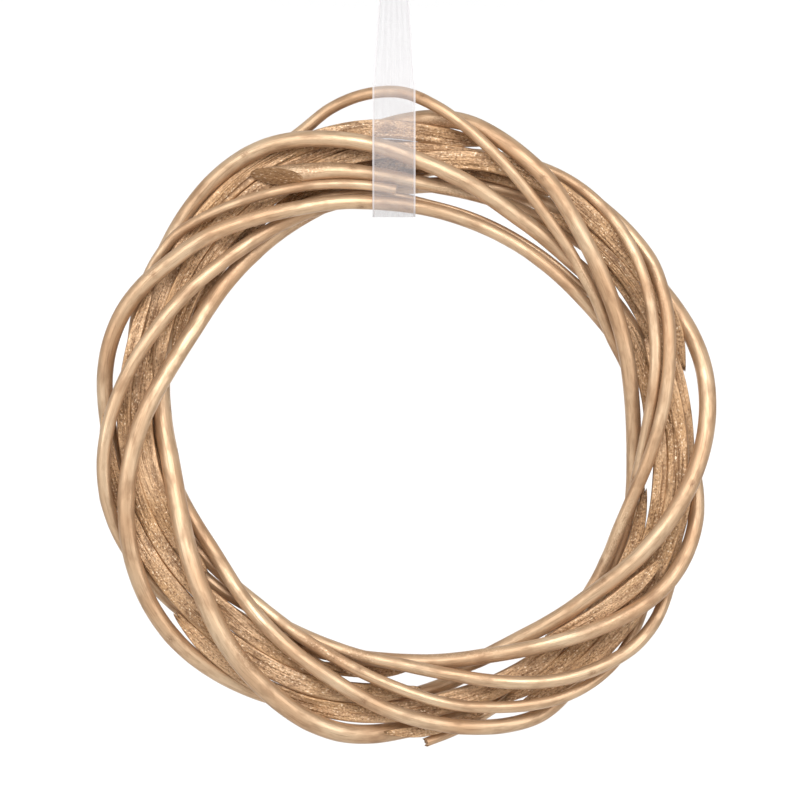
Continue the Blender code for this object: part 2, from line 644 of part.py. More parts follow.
def build():
    clear_scene()
    scene = bpy.context.scene
    wreath = bpy.data.collections.new("wreath_frame")
    cutters = bpy.data.collections.new("cutters")
    scene.collection.children.link(wreath)
    scene.collection.children.link(cutters)

    gold = painted("gold_paint", GOLD, 0.42, 0.55)
    pale = painted("pale_gold_paint", PALE_GOLD, 0.6, 0.35)
    deep = painted("deep_gold_paint", DEEP_GOLD, 0.55, 0.45)
    organza = painted("organza", ORGANZA, 0.5, 0.0)
    shades = {"thin_rod": deep}

    paths = {name: wound_path(*rod) for name, rod in WOUND_RODS.items()}
    paths.update({name: split_path(*rod) for name, rod in SPLIT_RODS.items()})
    rods = settle(paths)
    outline, lowest = ribbon_line(rods)
    crotch = RING_RADIUS + KNOT_ABOVE_RING

    pivot = bpy.data.objects.new("ring_pivot", None)
    wreath.objects.link(pivot)
    pivot.location = Vector((PIVOT_OFFSET - RIBBON_OFFSET, 0.0, lowest - crotch)) * MM
    pivot.rotation_euler = (math.pi / 2, 0.0, 0.0)
    to_pivot = np.array([-PIVOT_OFFSET, -lowest, 0.0])

    profile = split_profile(cutters)
    for name, (points, radii) in rods.items():
        local = points + to_pivot
        half_round = name.startswith("split_rod")
        rod = meshed(rod_curve(name, local, radii, profile if half_round else None), wreath)
        if name == "cut_rod":
            slice_cut_rod(rod, local)
        rod.data.shade_smooth()
        rod.data.materials.clear()
        rod.data.materials.append(shades.get(name, pale if half_round else gold))
        rod.parent = pivot

    strip = ribbon_strip(outline, crotch, wreath)
    knot = ribbon_knot(wreath)
    for piece in (strip, knot):
        piece.data.materials.append(organza)


build()
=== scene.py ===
"""The looks of a wreath frame: gold-sprayed willow rods wound into a ring, on an organza ribbon.

Lengths are in metres unless a name ends in MM. Angles on the ring run clockwise from its top, seen
from the front. Every rod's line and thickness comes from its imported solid, and the bark, knots,
splits and ends are worked out here on top of it.
"""

import json
import math

import bpy
import numpy as np
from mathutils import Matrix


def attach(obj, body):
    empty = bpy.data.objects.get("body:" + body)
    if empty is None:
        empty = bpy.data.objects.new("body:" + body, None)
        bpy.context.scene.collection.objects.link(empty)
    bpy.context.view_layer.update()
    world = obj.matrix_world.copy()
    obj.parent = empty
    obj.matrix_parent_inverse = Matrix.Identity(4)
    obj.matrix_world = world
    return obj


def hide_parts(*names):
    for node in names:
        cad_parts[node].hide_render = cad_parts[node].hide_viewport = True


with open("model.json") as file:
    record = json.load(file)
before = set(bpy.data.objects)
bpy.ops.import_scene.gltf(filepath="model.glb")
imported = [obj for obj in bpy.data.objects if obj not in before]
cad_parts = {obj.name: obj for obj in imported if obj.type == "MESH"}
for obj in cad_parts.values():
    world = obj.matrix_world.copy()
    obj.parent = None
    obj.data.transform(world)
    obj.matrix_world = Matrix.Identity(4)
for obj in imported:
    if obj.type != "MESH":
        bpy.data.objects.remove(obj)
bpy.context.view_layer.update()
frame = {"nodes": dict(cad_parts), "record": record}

MM = 0.001


# --- the ring's own frame ---------------------------------------------------------------------
def middle_of_opening(name):
    for opening in frame["record"]["physics"]["openings"]:
        if opening["name"] == name:
            low, high = opening["box_m"]
            return (np.array(low) + np.array(high)) / 2
    raise KeyError(name)


_open_middle = middle_of_opening("ring_centre_wide")
RING_X, RING_Z = float(_open_middle[0]), float(_open_middle[2])


def ring_angle(points):
    """Degrees clockwise from the top of the ring, seen from the front, from -180 to 180."""
    return np.degrees(np.arctan2(points[:, 0] - RING_X, points[:, 2] - RING_Z))


def fitted_circle(points):
    """Centre and radius of the circle through points: the plane is where they spread least, and
    in it 2ax + 2by + c = x^2 + y^2 is solved by least squares."""
    middle = points.mean(0)
    _, _, axes = np.linalg.svd(points - middle)
    flat = (points - middle) @ axes[:2].T
    system = np.column_stack([2 * flat, np.ones(len(flat))])
    a, b, c = np.linalg.lstsq(system, (flat ** 2).sum(1), rcond=None)[0]
    return middle + a * axes[0] + b * axes[1], math.sqrt(c + a * a + b * b)


SECTIONS_APART = 1.6  # degrees between two sections of a solid, at least
LEAST_CORNERS, MOST_CORNERS = 6, 8  # of a section


def rod_stations(node):
    """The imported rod's sections in order along it: centres and radii."""
    mesh = frame["nodes"][node].data
    found = np.empty(len(mesh.vertices) * 3)
    mesh.vertices.foreach_get("co", found)
    corners = np.unique(found.reshape(-1, 3).round(7), axis=0)
    angle = ring_angle(corners)
    order = np.argsort(angle)
    angle, corners = angle[order], corners[order]
    gaps = np.diff(np.append(angle, angle[0] + 360))
    start = (int(np.argmax(gaps)) + 1) % len(angle)
    angle = np.concatenate([angle[start:], angle[:start] + 360])
    corners = np.concatenate([corners[start:], corners[:start]])
    breaks = np.nonzero(np.diff(angle) > SECTIONS_APART)[0] + 1
    groups = [g for g in np.split(np.arange(len(angle)), breaks) if len(g) >= LEAST_CORNERS]
    rows = []
    for group in groups:
        ring = corners[group]
        if len(ring) > MOST_CORNERS:
            spread = np.linalg.norm(ring[:, None] - ring[None], axis=2)
            ring = ring[np.argsort(spread.sum(1))[:MOST_CORNERS]]
        rows.append(fitted_circle(ring))
    centres = np.array([row[0] for row in rows])
    radii = np.array([row[1] for row in rows])
    return centres, radii


def smooth_through(at, values, where):
    """Cubic pieces through the values at given places, with slopes from each value's neighbours."""
    steps = np.diff(at)[:, None]
    slopes = np.diff(values, axis=0) / steps
    inner = (slopes[:-1] * steps[1:] + slopes[1:] * steps[:-1]) / (steps[:-1] + steps[1:])
    tangent = np.concatenate([slopes[:1], inner, slopes[-1:]])
    i = np.clip(np.searchsorted(at, where, side="right") - 1, 0, len(steps) - 1)
    h = steps[i]
    u = ((where - at[i]) / h[:, 0])[:, None]
    return (
        (1 + 2 * u) * (1 - u) ** 2 * values[i]
        + u * (1 - u) ** 2 * h * tangent[i]
        + u * u * (3 - 2 * u) * values[i + 1]
        + u * u * (u - 1) * h * tangent[i + 1]
    )


def rod_line(node, step):
    """A rod's fine line: length along it, points, radii, and a side and a front axis.

    The front axis is the part of the ring's front direction that is square to the rod.
    """
    centres, radii = rod_stations(node)
    along = np.concatenate([[0], np.cumsum(np.linalg.norm(np.diff(centres, axis=0), axis=1))])
    fine = np.linspace(0, along[-1], max(8, int(round(along[-1] / step)) + 1))
    points = smooth_through(along, centres, fine)
    radius = smooth_through(along, radii[:, None], fine)[:, 0]
    tangent = np.gradient(points, axis=0)
    tangent /= np.linalg.norm(tangent, axis=1)[:, None]
    front = np.array([0.0, -1.0, 0.0]) - tangent * -tangent[:, 1:2]
    front /= np.linalg.norm(front, axis=1)[:, None]
    side = np.cross(tangent, front)
    return fine, points, radius, side, front


# --- smooth random fields ---------------------------------------------------------------------
def seeded(name):
    return np.random.default_rng(sum((i + 1) * ord(c) for i, c in enumerate(name)))


def drift(rng, where, spacing):
    """A smooth random line of about unit size with a bend every spacing, read at where."""
    count = int(math.ceil((where.max() - where.min()) / spacing)) + 4
    knots = (np.arange(count) - 1) * spacing + where.min()
    return smooth_through(knots, rng.normal(0, 0.6, (count, 1)), where)[:, 0]


def wandering(rng, along, around, spacing, waves):
    """A field on a rod: sum over waves k of drift_k(along) * cos(k * around + turning phase)."""
    total = np.zeros((len(along), len(around)))
    for k, share in waves:
        phase = 2.0 * drift(rng, along, spacing * 3) + rng.uniform(0, 2 * math.pi)
        wave = np.cos(k * around[None] + phase[:, None])
        total += share * drift(rng, along, spacing)[:, None] * wave
    return total


# --- mesh making ------------------------------------------------------------------------------
def grid_faces(rows, columns, closed):
    """Quads of a grid of points, row after row; closed joins the last column to the first."""
    last = columns if closed else columns - 1
    i, j = np.meshgrid(np.arange(rows - 1), np.arange(last), indexing="ij")
    k = (j + 1) % columns
    return np.stack(
        [i * columns + j, i * columns + k, (i + 1) * columns + k, (i + 1) * columns + j], axis=-1
    ).reshape(-1, 4)


def smooth_mesh(name, points, faces):
    mesh = bpy.data.meshes.new(name)
    mesh.from_pydata(points, [], faces)
    mesh.polygons.foreach_set("use_smooth", np.ones(len(mesh.polygons), dtype=bool))
    return mesh


def add_layer(mesh, name, kind, field, values):
    """Give every point of a mesh its own value for the material to read."""
    layer = mesh.attributes.new(name, kind, "POINT")
    layer.data.foreach_set(field, values.astype(np.float32).ravel())


def placed(name, data):
    made = bpy.data.objects.new(name, data)
    bpy.context.scene.collection.objects.link(made)
    return made


# --- materials --------------------------------------------------------------------------------
def linear(hex_colour):
    """An sRGB hex colour as linear RGBA."""
    channels = [int(hex_colour[i:i + 2], 16) / 255 for i in (1, 3, 5)]
    return [c / 12.92 if c <= 0.04045 else ((c + 0.055) / 1.055) ** 2.4 for c in channels] + [1.0]


def add(tree, kind, inputs=None, **settings):
    """Add a node with its settings. An input takes a value, or a link where it gets a socket."""
    made = tree.nodes.new(kind)
    for key, value in settings.items():
        setattr(made, key, value)
    for key, value in (inputs or {}).items():
        if isinstance(value, bpy.types.NodeSocket):
            tree.links.new(value, made.inputs[key])
        else:
            made.inputs[key].default_value = value
    return made


def new_material(name):
    material = bpy.data.materials.new(name)
    material.use_nodes = True
    material.node_tree.nodes.clear()
    return material, material.node_tree


def per_mm(across, along=None):
    """Pattern scale for features this many mm across, and this many mm long along the rod."""
    return (1 / (across * MM), 1 / (across * MM), 1 / ((along or across) * MM))


PAINTED_GLINT = "#F2DDC0"  # painted glint: bright cream for light caught on the raised grain


def rod_paint(name, light, mid, dark, metallic, smooth, rough, grit, grit_depth, grain_depth):
    """Spray paint over wood: clouds of more and less paint, dull blotches, grain lines, grit, and
    painted glints on the raised grit.

    light, mid and dark are the paint where it lies thick, usual and thin over a pore; dark is also
    laid in the hollows as painted shade.
    smooth and rough are the roughness of sound and of worn places. Depths and grit are in mm.
    """
    material, tree = new_material(name)
    straight = add(tree, "ShaderNodeAttribute", attribute_name="straight").outputs["Vector"]
    hollow_shade_and_wear = add(tree, "ShaderNodeAttribute", attribute_name="hollow_shade_and_wear").outputs["Color"]
    hollow_shade_and_wear = add(tree, "ShaderNodeSeparateColor", {"Color": hollow_shade_and_wear})
    hollow_shade, worn = hollow_shade_and_wear.outputs["Red"], hollow_shade_and_wear.outputs["Green"]

    def noise(scale, detail):
        """Noise in the straightened rod, with features of the given scale."""
        scaled = add(tree, "ShaderNodeMapping", {"Vector": straight, "Scale": scale})
        made = add(tree, "ShaderNodeTexNoise", {
            "Vector": scaled.outputs[0], "Scale": 1.0, "Detail": detail})
        return made.outputs["Fac"]

    def ramp(value, low, high, most=1.0):
        """0 where value is at low, rising to most where it is at high, and held outside."""
        return add(tree, "ShaderNodeMapRange", {
            "Value": value, "From Min": low, "From Max": high, "To Max": most}).outputs[0]

    def over(share, under, top):
        """The colour top laid over the colour under by its share."""
        return add(tree, "ShaderNodeMix", {
            0: share, 6: under, 7: linear(top)}, data_type="RGBA").outputs[2]

    def times(value, factor):
        return add(tree, "ShaderNodeMath", {0: value, 1: factor}, operation="MULTIPLY").outputs[0]

    clouds = noise(per_mm(14, 30), 2.0)
    blotch = noise(per_mm(2.8, 8), 3.0)
    grain = noise(per_mm(0.55, 9), 3.0)
    grits = noise(per_mm(grit, grit * 1.5), 2.5)

    thick = ramp(clouds, 0.38, 0.66)
    dull = ramp(blotch, 0.48, 0.66, 0.4)
    specks = times(ramp(grits, 0.50, 0.32, 0.8), worn)
    # Painted glints: the highest grit in worn places is coloured bright cream, standing in for
    # light caught on it, and is glossier too.
    glint_flecks = times(ramp(grits, 0.60, 0.72), worn)
    colour = over(thick, linear(mid), light)
    colour = over(dull, colour, dark)
    colour = over(ramp(grain, 0.47, 0.28, 0.45), colour, dark)
    colour = over(specks, colour, dark)
    colour = over(glint_flecks, colour, PAINTED_GLINT)
    # Painted shade: the hollows of the ribs and fibres and the dented knot scars are darkened
    # towards the dark paint.
    colour = over(hollow_shade, colour, dark)

    gloss = add(tree, "ShaderNodeMapRange", {
        "Value": thick, "To Min": smooth + 0.06, "To Max": smooth - 0.04}).outputs[0]
    gloss = add(tree, "ShaderNodeMix", {0: worn, 2: gloss, 3: rough}, data_type="FLOAT").outputs[0]
    gloss = add(tree, "ShaderNodeMath", {
        0: dull, 1: 0.35, 2: gloss}, operation="MULTIPLY_ADD").outputs[0]
    gloss = add(tree, "ShaderNodeMix", {0: glint_flecks, 2: gloss, 3: 0.3}, data_type="FLOAT").outputs[0]

    bump = add(tree, "ShaderNodeBump", {
        "Height": grain, "Strength": 1.0, "Distance": grain_depth * MM})
    lift = add(tree, "ShaderNodeMapRange", {
        "Value": worn, "To Min": 0.25, "To Max": 1.0}).outputs[0]
    bump = add(tree, "ShaderNodeBump", {
        "Height": times(lift, grits), "Strength": 1.0, "Distance": grit_depth * MM,
        "Normal": bump.outputs[0]})
    shader = add(tree, "ShaderNodeBsdfPrincipled", {
        "Base Color": colour, "Roughness": gloss, "Metallic": metallic,
        "Normal": bump.outputs[0], "Coat Weight": 0.3, "Coat Roughness": 0.38})
    add(tree, "ShaderNodeOutputMaterial", {"Surface": shader.outputs[0]})
    return material


# Champagne-gold metallic spray paint on smooth willow bark: an even satin film that shows the
# bark's fine lengthwise grain, a soft bright line along each rod's crest and warmer tan flanks.
BARK = rod_paint(
    "gold_sprayed_willow_bark", "#D9BC9A", "#C29D79", "#866243", metallic=0.66, smooth=0.44,
    rough=0.60, grit=0.5, grit_depth=0.14, grain_depth=0.09)
# The same paint on split willow: the raw fibres drink it, so it is sandy, matt and speckled, with
# many painted glints on its raised grit.
SPLIT = rod_paint(
    "gold_sprayed_split_willow", "#D8B48E", "#C19A70", "#6E4B2E", metallic=0.75, smooth=0.42,
    rough=0.58, grit=0.55, grit_depth=0.40, grain_depth=0.24)
# The same paint, one thin coat, on sawn and cut ends: flat, dull and a shade darker.
CUT = rod_paint(
    "gold_sprayed_cut_wood", "#B08A62", "#9C7650", "#6E4C2E", metallic=0.5, smooth=0.5,
    rough=0.62, grit=0.5, grit_depth=0.14, grain_depth=0.08)


# --- rods -------------------------------------------------------------------------------------
def rod_columns(count):
    """Directions round a rod, in radians from its side axis, twice as close on the front."""
    t = np.arange(count) / count * 2 * math.pi
    return t + 0.35 * np.cos(t)


LINES = {}  # each rod's fine line, by its name


def rod_grid(line, phi, outline, start, end, reach, breadth=1.0):
    """Points of a rod on a grid of rows along it and columns round it.

    point = line(s) + outline(row, column) * (breadth * cos(phi) * side(s) + sin(phi) * front(s)),
    where a column runs from start[column] to length + end[column], and the shift fades over reach.
    """
    along, centre, _, side, front = line
    length = along[-1]
    near = np.clip(1 - along / reach, 0, 1) ** 2
    far = np.clip(1 - (length - along) / reach, 0, 1) ** 2
    s = along[:, None] + near[:, None] * start[None] + far[:, None] * end[None]
    s = np.sort(s, axis=0)

    def at(values):
        inner = np.stack([np.interp(s, along, values[:, k]) for k in range(3)], axis=-1)
        last = along[-1] - along[-2]
        ahead = (s - length).clip(min=0)[..., None] * (values[-1] - values[-2]) / last
        behind = (-s).clip(min=0)[..., None] * (values[0] - values[1]) / (along[1] - along[0])
        return inner + ahead + behind

    c = at(centre)
    a = np.stack([np.interp(s, along, side[:, k]) for k in range(3)], axis=-1)
    b = np.stack([np.interp(s, along, front[:, k]) for k in range(3)], axis=-1)
    across = outline * np.cos(phi)[None] * breadth
    out = outline * np.sin(phi)[None]
    return c + across[..., None] * a + out[..., None] * b, s, across, out


def knots_along(rng, along, phi, count, size, half_length):
    """Swellings of a rod where side shoots were: size * exp(-((s - s0)/half_length)^2), fuller on
    the shoot's own side. Returns them and a mask of their rough scars."""
    swell = np.zeros((len(along), len(phi)))
    scar = np.zeros_like(swell)
    for number in range(count):
        s0 = along[-1] * ((number + rng.uniform(0.2, 0.8)) / count)
        p0 = rng.uniform(0, 2 * math.pi)
        reach = half_length * rng.uniform(0.8, 1.3)
        ring = np.exp(-((along - s0) / reach) ** 2)[:, None]
        facing = np.clip(np.cos(phi - p0), 0, 1)[None]
        swell += size * ring * (0.35 + 0.65 * facing ** 2)
        spot = np.exp(-((along - s0) / (0.45 * reach)) ** 2)[:, None] * facing ** 12
        swell -= 0.7 * size * spot
        scar = np.maximum(scar, spot)
    return swell, scar


def rod_object(name, body_points, s, across, out, hollow_shades, worn, offset, material, end_material):
    """Skin of a rod with a closed cap at each end, as one mesh."""
    rows, columns = body_points.shape[:2]
    skin = body_points.reshape(-1, 3)
    quads = grid_faces(rows, columns, True)
    straight = np.stack([across, out, s + offset], axis=-1).reshape(-1, 3)
    # Per point: painted shade in the hollows, and wear.
    hollow_shade_and_wear = np.stack([hollow_shades, worn], axis=-1).reshape(-1, 2)
    points, faces, flats, hollow_shade_and_wear_rows = [skin], [quads], [straight], [hollow_shade_and_wear]
    total = len(skin)
    cap_from = len(quads)
    for row, turned in ((0, True), (rows - 1, False)):
        rim = body_points[row]
        middle = rim.mean(0)
        shares = np.array([1.0, 0.8, 0.5, 0.2])[:, None, None]
        rng = seeded(name + str(row))
        rings = middle + (rim - middle)[None] * shares
        deep = (body_points[1 if row == 0 else rows - 2] - rim).mean(0)
        deep /= max(np.linalg.norm(deep), 1e-9)
        rings = rings + deep * (np.abs(rng.normal(0, 0.00012, (4, columns, 1))) * (shares < 1))
        block = np.concatenate([rings.reshape(-1, 3), (middle + deep * 0.0002)[None]])
        cap_quads = grid_faces(4, columns, True)
        fan = np.stack([
            3 * columns + np.arange(columns), 3 * columns + (np.arange(columns) + 1) % columns,
            np.full(columns, 4 * columns), np.full(columns, 4 * columns)], axis=1)
        cap = np.concatenate([cap_quads, fan]) + total
        if turned:
            cap = cap[:, ::-1]
        flat = np.stack([across[row], out[row]], axis=-1)[None] * np.ones((4, 1, 1)) * shares
        flat = np.concatenate([flat.reshape(-1, 2), np.zeros((1, 2))])
        depth = np.full((len(flat), 1), s[row].mean() + offset)
        points.append(block)
        flats.append(np.concatenate([flat, depth], axis=1))
        hollow_shade_and_wear_rows.append(np.tile([0.0, 0.9], (len(block), 1)))
        faces.append(cap)
        total += len(block)
    points, flats = np.concatenate(points), np.concatenate(flats)
    hollow_shade_and_wear = np.concatenate(hollow_shade_and_wear_rows)
    faces = [tuple(dict.fromkeys(face)) for face in np.concatenate(faces).tolist()]
    mesh = smooth_mesh(name, points.tolist(), faces)
    mesh.materials.append(material)
    mesh.materials.append(end_material)
    chosen = np.zeros(len(faces), dtype=np.int32)
    chosen[cap_from:] = 1
    mesh.polygons.foreach_set("material_index", chosen)
    add_layer(mesh, "straight", "FLOAT_VECTOR", "vector", flats)
    shown = np.concatenate([hollow_shade_and_wear, np.zeros((len(hollow_shade_and_wear), 1)), np.ones((len(hollow_shade_and_wear), 1))], axis=1)
    add_layer(mesh, "hollow_shade_and_wear", "FLOAT_COLOR", "color", shown)
    mesh.update()
    return placed(name, mesh)


def slant_start(node, line, phi, outline, steeper):
    """Where each column of a rod starts so that all of them end on its slanting cut.

    The cut faces the way that the solid's largest face does: each column starts where
    (line(s) + outline * direction - point) . normal crosses zero, and steeper shortens the slant.
    """
    solid = frame["nodes"][node]
    face = max(solid.data.polygons, key=lambda polygon: polygon.area)
    point = np.array(solid.matrix_world @ face.center)
    normal = np.array(solid.matrix_world.to_3x3() @ face.normal)
    _, centre, _, side, front = line
    ahead = (centre[3] - centre[0]) / np.linalg.norm(centre[3] - centre[0])
    rim = np.cos(phi)[:, None] * side[0] + np.sin(phi)[:, None] * front[0]
    off = (centre[0] + outline[0][:, None] * rim - point) @ normal
    start = -off / (ahead @ normal)
    return start.mean() + (start - start.mean()) * steeper


def bark_rod(node, columns=32, step=0.9 * MM, knot_every=0.075, slant=None,
             thick_end=0.0):
    """A round willow rod with its bark on.

    outline = radius * (1 + slow ovality + fine lengthwise ribs + knots).
    """
    rng = seeded(node)
    line = LINES[node] = rod_line(node, step)
    along, radius = line[0], line[2]
    phi = rod_columns(columns)
    knot_count = max(1, round(along[-1] / knot_every))
    knots, scars = knots_along(rng, along, phi, knot_count, 0.055, 2.4 * MM)
    oval = wandering(rng, along, phi, 0.024, [(0, 0.025), (2, 0.022), (3, 0.014)])
    ribs = wandering(rng, along, phi, 0.012, [(5, 0.005), (8, 0.005), (11, 0.004)])
    outline = radius[:, None] * (1 + oval + ribs + knots)
    outline *= 1 + thick_end * np.exp(-(along / (28 * MM)) ** 2)[:, None]
    patches = wandering(rng, along, phi, 0.016, [(0, 0.5), (1, 0.6), (2, 0.5)])
    worn = np.clip((patches - 0.35) * 1.4, 0, 1) * 0.8
    worn = np.maximum(worn, scars)
    # Painted shade: darker in the rib hollows and in the dented knot scars.
    hollow_shades = np.clip(-ribs * 30 - 0.15, 0, 0.35) + 0.6 * scars
    jag = rng.normal(0, 0.25 * MM, columns)
    if slant is None:
        points, s, across, out = rod_grid(line, phi, outline, jag, -jag, 0.008)
    else:
        start = slant_start(node, line, phi, outline, slant)
        points, s, across, out = rod_grid(line, phi, outline, start, -jag, 0.030)
    piece = rod_object(node + "_bark", points, s, across, out, hollow_shades.clip(0, 1), worn,
                       rng.uniform(0, 5), BARK, CUT)
    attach(piece, "ring")
    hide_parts(node)


SPLIT_TAPER = 14 * MM  # over which a split rod thins to its end
TORN_DEPTH = 3.5 * MM  # of the tears in its end


def split_rod(node, breadth, columns=52, step=0.7 * MM, flat_at=0.42, sandy=0.7):
    """A half-round split rod, split face to the front.

    outline = the nearer of the bark's round, radius, and the split face,
    flat_at * radius / sin(phi), blended over a rounded edge, with lengthwise fibres on the face
    and torn, uneven ends.
    """
    rng = seeded(node)
    line = LINES[node] = rod_line(node, step)
    along, radius = line[0], line[2]
    phi = rod_columns(columns)
    lean = 0.18 * drift(rng, along, 0.02)[:, None]
    facing = np.sin(phi[None] + lean)
    fibres = wandering(rng, along, phi, 0.014, [(7, 0.05), (12, 0.045), (19, 0.03), (27, 0.02)])
    steps = wandering(rng, along, phi, 0.016, [(2, 0.07), (4, 0.07)])
    steps = np.round(steps * 16) / 16 * 0.6 + steps * 0.4
    level = flat_at + (fibres + steps)
    face = level / np.maximum(facing, 1e-3)
    face = np.where(facing > 0.05, face, 10.0)
    edge = 9.0
    share = (1.0 + np.clip(face, 0.05, 10) ** -edge) ** (-1 / edge)
    on_face = np.clip((1.0 - share) * 6, 0, 1)
    outline = radius[:, None] * share * (1 + 0.3 * fibres * (1 - on_face))
    taper_in = np.clip(along / SPLIT_TAPER, 0, 1) ** 0.6
    taper_out = np.clip((along[-1] - along) / SPLIT_TAPER, 0, 1) ** 0.6
    outline = outline * (0.18 + 0.82 * taper_in * taper_out)[:, None]
    patches = wandering(rng, along, phi, 0.020, [(0, 0.5), (1, 0.3), (3, 0.4)])
    worn = np.clip(on_face * (sandy + 0.35 * patches) + 0.15 + 0.2 * patches, 0, 1)
    # Painted shade: darker in the hollows between the fibres of the split face.
    hollow_shades = np.clip(-fibres * 7 - 0.1, 0, 0.85) * on_face
    torn = np.convolve(np.tile(rng.normal(0, 1, columns), 3), [0.25, 0.5, 0.25], "same")
    start = np.abs(torn[columns:2 * columns]) * TORN_DEPTH
    end = -np.abs(np.roll(torn, columns // 3)[columns:2 * columns]) * TORN_DEPTH
    points, s, across, out = rod_grid(line, phi, outline, start, end, 0.012, breadth)
    piece = rod_object(node + "_wood", points, s, across, out, hollow_shades, worn, rng.uniform(0, 5),
                       SPLIT, CUT)
    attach(piece, "ring")
    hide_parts(node)


# How many times wider than half-round the splits are, and the widest ones by name.
SPLIT_BREADTH = 1.14
TORN_WIDE = {"split_rod_1": 1.5, "split_rod_2": 1.35, "split_rod_3": 1.2, "split_rod_4": 1.4,
             "split_rod_9": 1.3, "split_rod_12": 1.5, "split_rod_14": 1.4, "split_rod_15": 1.4,
             "split_rod_17": 1.4}
WOUND = ["arch_rod", "thick_rod", "west_rod", "east_rod", "inner_rod", "shoulder_rod",
         "south_east_rod", "north_east_rod", "cut_rod", "thin_rod"]
for rod in WOUND:
    if rod == "cut_rod":
        bark_rod(rod, slant=0.52, thick_end=0.30)
    else:
        bark_rod(rod)
for rod in sorted(frame["nodes"]):
    if rod.startswith("split_rod"):
        split_rod(rod, TORN_WIDE.get(rod, SPLIT_BREADTH))


# --- ribbon -----------------------------------------------------------------------------------
RIBBON_WIDTH = 15 * MM
GATHERED = 5.2 * MM  # the ribbon's width where the knot squeezes it
LEG_GAP = 1.4 * MM  # between the two legs at the knot
ORGANZA_CLEAR = 0.45 * MM  # ribbon to the bark
FULL_WIDTH_AT = 122 * MM  # above the ring's middle: below this the ribbon lies flat at full width
KNOT_MIDDLE = 4.6 * MM
TAIL_FROM, TAIL_LENGTH, TAIL_LEAN, TAIL_SPREAD = 8.5 * MM, 24 * MM, 9 * MM, 5 * MM
PLEATS = 3


def organza(name, clear, thread_mm):
    """Sheer woven nylon organza: a fine open weave that lets most light through, with a dense white
    selvedge woven along each edge. The real threads are 0.12 mm apart; they are drawn thread_mm
    apart, which is as coarse as it has to be to show."""
    material, tree = new_material(name)
    cloth = add(tree, "ShaderNodeAttribute", attribute_name="cloth").outputs["Vector"]
    split = add(tree, "ShaderNodeSeparateXYZ", {"Vector": cloth})
    turns = math.pi / (thread_mm * MM)

    def threads(way):
        """|sin(turns * way)|: 0 between two threads and 1 in the middle of one."""
        made = add(tree, "ShaderNodeMath", {0: way, 1: turns}, operation="MULTIPLY")
        made = add(tree, "ShaderNodeMath", {0: made.outputs[0]}, operation="SINE")
        return add(tree, "ShaderNodeMath", {0: made.outputs[0]}, operation="ABSOLUTE").outputs[0]

    warp, weft = threads(split.outputs["X"]), threads(split.outputs["Y"])
    weave = add(tree, "ShaderNodeMath", {0: warp, 1: weft}, operation="ADD")
    slub = add(tree, "ShaderNodeMapping", {
        "Vector": cloth, "Scale": (1 / (0.5 * MM), 1 / (12 * MM), 1.0)})
    slub = add(tree, "ShaderNodeTexNoise", {"Vector": slub.outputs[0], "Scale": 1.0, "Detail": 2.0})
    body = add(tree, "ShaderNodeMapRange", {
        "Value": weave.outputs[0], "From Min": 0.2, "From Max": 1.9,
        "To Min": 1 - clear - 0.04, "To Max": 1 - clear + 0.04}).outputs[0]
    lines = add(tree, "ShaderNodeMapRange", {
        "Value": slub.outputs["Fac"], "From Min": 0.35, "From Max": 0.65,
        "To Min": -0.025, "To Max": 0.025}).outputs[0]
    body = add(tree, "ShaderNodeMath", {0: body, 1: lines}, operation="ADD").outputs[0]
    outward = add(tree, "ShaderNodeMath", {0: split.outputs["X"]}, operation="ABSOLUTE").outputs[0]
    edge = add(tree, "ShaderNodeMapRange", {
        "Value": outward, "From Min": RIBBON_WIDTH / 2 - 0.75 * MM,
        "From Max": RIBBON_WIDTH / 2 - 0.5 * MM}).outputs[0]
    cover = add(tree, "ShaderNodeMix", {0: edge, 2: body, 3: 0.62}, data_type="FLOAT").outputs[0]
    tone = add(tree, "ShaderNodeMix", {
        0: edge, 6: linear("#CCC9CB"), 7: linear("#D2CFD1")}, data_type="RGBA").outputs[2]
    bump = add(tree, "ShaderNodeBump", {
        "Height": weave.outputs[0], "Strength": 0.6, "Distance": 0.05 * MM})
    shader = add(tree, "ShaderNodeBsdfPrincipled", {
        "Base Color": tone, "Roughness": 0.45, "Alpha": cover, "Normal": bump.outputs[0],
        "Sheen Weight": 0.1, "Sheen Roughness": 0.4})
    add(tree, "ShaderNodeOutputMaterial", {"Surface": shader.outputs[0]})
    return material


ORGANZA = organza("white_sheer_organza", 0.71, 0.65)
# The same cloth where it is wound into the knot, several layers on each other.
ORGANZA_KNOT = organza("white_organza_in_layers", 0.22, 0.75)


def taut_outline():
    """The ribbon's line under the ring, as (forward, up) from the ring's middle.

    For each direction it lies on the rod that reaches furthest that way at any sway of the ring:
    point = rod's middle + direction * (rod's radius + clearance).
    """
    joint = frame["record"]["behaviour"]["joints"][0]
    pivot = np.array(joint["pos_m"])
    sway = math.radians(joint["range_deg"][1])
    middles = np.concatenate([LINES[rod][1] for rod in LINES])
    radii = np.concatenate([LINES[rod][2] for rod in LINES])
    upper = middles[:, 2] > RING_Z
    middles, radii = middles[upper], radii[upper]
    held = []
    for turn in np.linspace(-sway, sway, 9):
        across, above = middles[:, 0] - pivot[0], middles[:, 2] - pivot[2]
        x = pivot[0] + across * math.cos(turn) + above * math.sin(turn)
        up = pivot[2] - across * math.sin(turn) + above * math.cos(turn)
        under = np.abs(x) < RIBBON_WIDTH / 2 + 0.5 * MM
        held.append(np.column_stack([-middles[under, 1], up[under] - RING_Z, radii[under]]))
    held = np.concatenate(held)
    outline = []
    for degrees in np.arange(84.0, -264.1, -2.0):
        way = np.array([math.cos(math.radians(degrees)), math.sin(math.radians(degrees))])
        reach = held[:, :2] @ way + held[:, 2]
        best = int(reach.argmax())
        if -RING_Z * way[1] <= reach[best]:
            outline.append(held[best, :2] + way * (held[best, 2] + ORGANZA_CLEAR))
    return np.array(outline)


